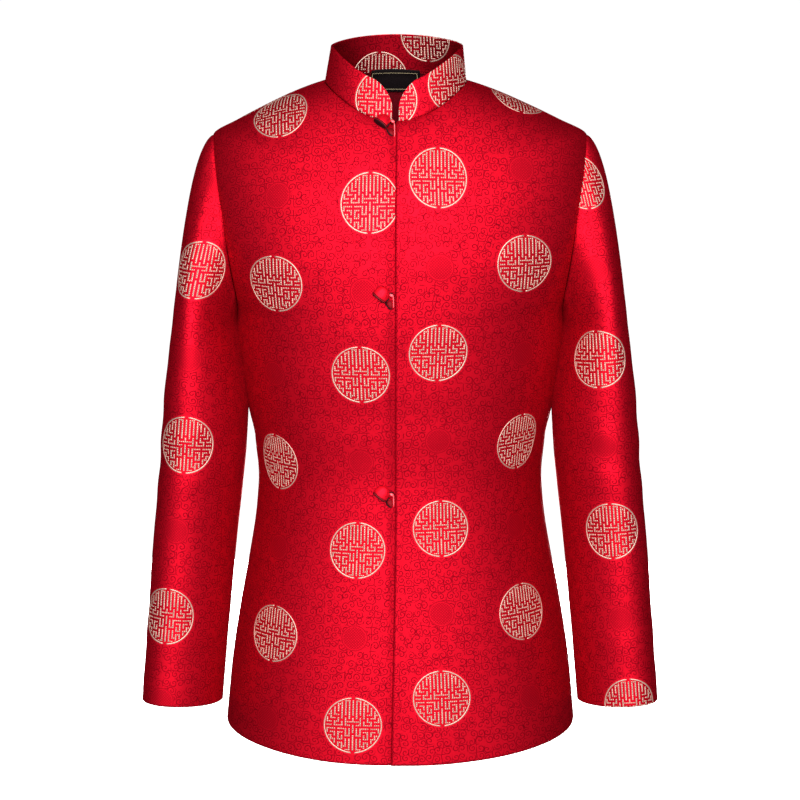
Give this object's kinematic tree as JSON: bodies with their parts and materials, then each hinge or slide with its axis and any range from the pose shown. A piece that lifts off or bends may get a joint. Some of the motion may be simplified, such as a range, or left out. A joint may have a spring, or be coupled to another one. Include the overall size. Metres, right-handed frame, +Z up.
{
  "type": "mandarin collar brocade jacket",
  "caption": "Red brocade jacket of a burial set, filled out as worn: stand collar, lapped front with knotted buttons and loops, long set-in sleeves.",
  "frame": {"origin": "midway between the shoulders, level with the points where the collar meets the shoulder seams", "axes": "+Z up, +X towards the wearer's left, -Y towards the front"},
  "size_m": [0.6092, 0.2593, 0.8329],
  "materials": {
    "brocade": "red silk-like damask with a scroll ground and woven gold roundels, soft sheen",
    "knot_satin": "red satin cord",
    "label_satin": "black woven satin label, left bare"
  },
  "bodies": {
    "root": {"front_left": "brocade", "front_right": "brocade", "back": "brocade", "sleeve_left": "brocade", "sleeve_right": "brocade", "collar": "brocade", "neck_label": "label_satin", "knot_button_1": "knot_satin", "knot_button_2": "knot_satin", "knot_button_3": "knot_satin", "cord_loop_1": "knot_satin", "cord_loop_2": "knot_satin", "cord_loop_3": "knot_satin"}
  },
  "joints": []
}
